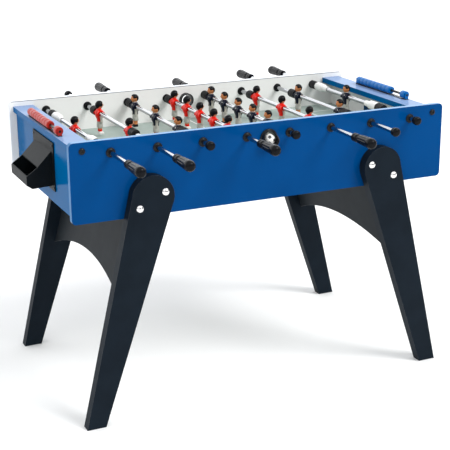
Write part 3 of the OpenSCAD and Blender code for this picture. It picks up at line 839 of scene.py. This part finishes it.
def add_cups(looks):
    """Feed cups: rim on the outer face, a scoop outside it, and a sleeve through the panel.

    The front scoop gets shorter towards the top, and the rear one is the same length all round.
    """
    lo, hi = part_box("feed_cups")
    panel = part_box("front_panel")
    inner_end = (panel[1].y - panel[0].y) / MM + CUP_SLEEVE
    outline = [(-CUP_REACH, 20.9), (-CUP_REACH, 24.0), (-6, 25.6), (-CUP_RIM, 27.6), (-3.6, 29.0),
               (0, 29.0), (0, CUP_WALL), (inner_end, CUP_WALL), (inner_end, CUP_BORE), (-4, CUP_BORE)]
    for name, y, inn, fullness in (("front", lo.y, 1, 0.85), ("rear", hi.y, -1, 1.9)):
        bm = bmesh.new()
        rows = turned(bm, fillet(outline, 1.0), columns=56, closed=True)
        for vert in bm.verts:
            if vert.co.y < -CUP_RIM:
                upward = vert.co.z / Vector((vert.co.x, vert.co.z)).length
                share = 0.12 + 0.88 * min(1.0, fullness - 0.85 * upward)
                vert.co.y = -CUP_RIM + (vert.co.y + CUP_RIM) * share
        move(bm, rows, Matrix.Diagonal((1, inn, 1, 1)))
        mesh = to_mesh(bm, f"cup_{name}", [looks["moulded"]])
        at = Matrix.Translation(((lo.x + hi.x) / 2, y + inn * CUP_RIM * MM, (lo.z + hi.z) / 2))
        piece(f"cup_{name}", mesh, "cabinet", at, ("feed_cups",) if inn > 0 else ())


def add_ball(looks):
    """Game ball with dark five-sided patches between six-sided ones, and sunk seams."""
    lo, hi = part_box("ball")
    radius = (hi.z - lo.z) / 2 / MM
    bm = bmesh.new()
    bmesh.ops.create_icosphere(bm, subdivisions=1, radius=radius)
    bmesh.ops.bevel(bm, geom=bm.verts[:], offset=100 / 3, offset_type="PERCENT", affect="VERTICES")
    for face in bm.faces:
        face.material_index = int(len(face.verts) == 5)
    panels = bm.faces[:]
    corners = {v for f in panels for v in f.verts}
    bmesh.ops.inset_individual(bm, faces=panels, thickness=0.35)
    bmesh.ops.poke(bm, faces=panels)
    bmesh.ops.subdivide_edges(bm, edges=bm.edges[:], cuts=3, use_grid_fill=True)
    seams = {v for v in corners if v.is_valid}
    for vert in bm.verts:
        vert.co = vert.co.normalized() * (radius - (0.3 if vert in seams else 0.0))
    mesh = to_mesh(bm, "game_ball", [looks["ball"], looks["ball_dark"]], 60)
    turn = Matrix.Rotation(math.radians(40), 4, (0.4, 1, 0.3))
    piece("game_ball", mesh, "ball", Matrix.Translation((lo + hi) / 2) @ turn, ("ball",))


# ---------- Carried-over CAD nodes ----------

def finish_cad_nodes(looks):
    """Finishes and rounded edges for the nodes whose CAD shape stays."""
    work = {
        "front_panel": ("panel_front", 1.2), "rear_panel": ("panel_rear", 1.2),
        "left_end_panel": ("end_left", 0.6), "right_end_panel": ("end_right", 0.6),
        "left_ledge": ("ledge", 1.0), "right_ledge": ("ledge", 1.0),
        "playing_field": ("field", 0.5), "field_supports": ("pine", 1.0),
        "left_legs": ("leg", 1.6), "right_legs": ("leg", 1.6),
        "left_cross_panel": ("cross", 0.8), "right_cross_panel": ("cross", 0.8),
        "left_ball_box": ("box", 1.4), "right_ball_box": ("box", 1.4),
        "scorer_trays": ("tray", 0.5), "ball_box_screws": ("bolt_black", 0.3),
        "scorer_rods": ("bolt_black", 0.6), "leg_bolts": ("bright", 0.5),
    }
    for node, (look, width) in work.items():
        refine(node, looks[look], width)
    for rod in RODS:
        refine(f"{rod}_bar", looks["chrome"], 0)


# ---------- Studio ----------

CAMERA_AT = Vector((-1.551, -3.413, 1.656))
CAMERA_YAW, CAMERA_PITCH, CAMERA_ROLL = 24.51, 17.71, -0.41
CAMERA_LENS = 93.4
FRONT_LEVEL, BACK_LEVEL, TOP_LEVEL = 0.33, 2.2, 0.95
FLOOR_HALF = 60.0


def add_camera():
    """Camera to the front left of the table, placed from the middle of the cabinet."""
    a, e, r = (math.radians(v) for v in (CAMERA_YAW, CAMERA_PITCH, CAMERA_ROLL))
    ahead = Vector((math.sin(a) * math.cos(e), math.cos(a) * math.cos(e), -math.sin(e)))
    right = Vector((math.cos(a), -math.sin(a), 0))
    up = right.cross(ahead)
    right, up = right * math.cos(r) + up * math.sin(r), up * math.cos(r) - right * math.sin(r)
    data = bpy.data.cameras.new("camera")
    data.lens = CAMERA_LENS
    data.clip_end = 200
    camera = bpy.data.objects.new("camera", data)
    bpy.context.scene.collection.objects.link(camera)
    turn = Matrix((right, up, -ahead)).transposed().to_4x4()
    camera.matrix_world = Matrix.Translation(CAMERA_AT + Vector((0, CENTRE_Y, 0))) @ turn
    bpy.context.scene.camera = camera


def add_sun(name, strength, spread, azimuth, height):
    """Soft white sun, its angles in degrees. Azimuth 0 shines from the front, 90 from the right end."""
    data = bpy.data.lights.new(name, "SUN")
    data.energy = strength
    data.angle = math.radians(spread)
    sun = bpy.data.objects.new(name, data)
    bpy.context.scene.collection.objects.link(sun)
    a, e = math.radians(azimuth), math.radians(height)
    back = Vector((math.sin(a) * math.cos(e), -math.cos(a) * math.cos(e), math.sin(e)))
    sun.rotation_euler = back.to_track_quat("Z", "Y").to_euler()


def add_floor():
    """Pale floor that fills the whole view."""
    bm = bmesh.new()
    bmesh.ops.create_grid(bm, x_segments=8, y_segments=8, size=FLOOR_HALF / MM)
    look = Look("floor_paint", 0.9, Specular_IOR_Level=0.0)
    look.paint(look.shade((0.93, 0.93, 0.93), 0.005, 0.8))
    mesh = to_mesh(bm, "floor", [look.material])
    floor = bpy.data.objects.new("floor", mesh)
    bpy.context.scene.collection.objects.link(floor)


def add_sky():
    """Soft light from all round: a bright backdrop behind the table and a dim room in front of it."""
    world = bpy.data.worlds.new("studio")
    bpy.context.scene.world = world
    world.use_nodes = True
    nodes, links = world.node_tree.nodes, world.node_tree.links

    def level(source, low, high, a, b):
        made = nodes.new("ShaderNodeMapRange")
        made.interpolation_type = "SMOOTHSTEP"
        for name, value in (("From Min", low), ("From Max", high), ("To Min", a), ("To Max", b)):
            made.inputs[name].default_value = value
        links.new(source, made.inputs["Value"])
        return made.outputs[0]

    def combine(operation, a, b):
        made = nodes.new("ShaderNodeMath")
        made.operation = operation
        links.new(a, made.inputs[0])
        links.new(b, made.inputs[1])
        return made.outputs[0]

    where = nodes.new("ShaderNodeTexCoord")
    split = nodes.new("ShaderNodeSeparateXYZ")
    links.new(where.outputs["Generated"], split.inputs[0])
    behind = level(split.outputs["Y"], -0.1, 0.7, FRONT_LEVEL, BACK_LEVEL)
    low_down = level(split.outputs["Z"], 0.35, 0.8, 1.0, 0.0)
    overhead = level(split.outputs["Z"], 0.35, 0.8, 0.0, TOP_LEVEL)
    strength = combine("ADD", combine("MULTIPLY", behind, low_down), overhead)
    links.new(strength, nodes["Background"].inputs["Strength"])
    nodes["Background"].inputs["Color"].default_value = (0.97, 0.985, 1.0, 1)


def add_studio():
    """Floor, sky, and two soft suns: the key from the right, the fill from the left."""
    add_floor()
    add_sky()
    add_sun("key", 2.1, 26, 38, 44)
    add_sun("fill", 0.55, 70, -50, 40)
    bpy.context.scene.view_settings.view_transform = "Standard"


def main():
    looks = make_looks()
    finish_cad_nodes(looks)
    add_rod_hardware(looks)
    add_bushings(looks)
    add_figures(looks)
    add_beads(looks)
    add_ledge_bolts(looks)
    add_cups(looks)
    add_ball(looks)
    add_studio()
    add_camera()


main()
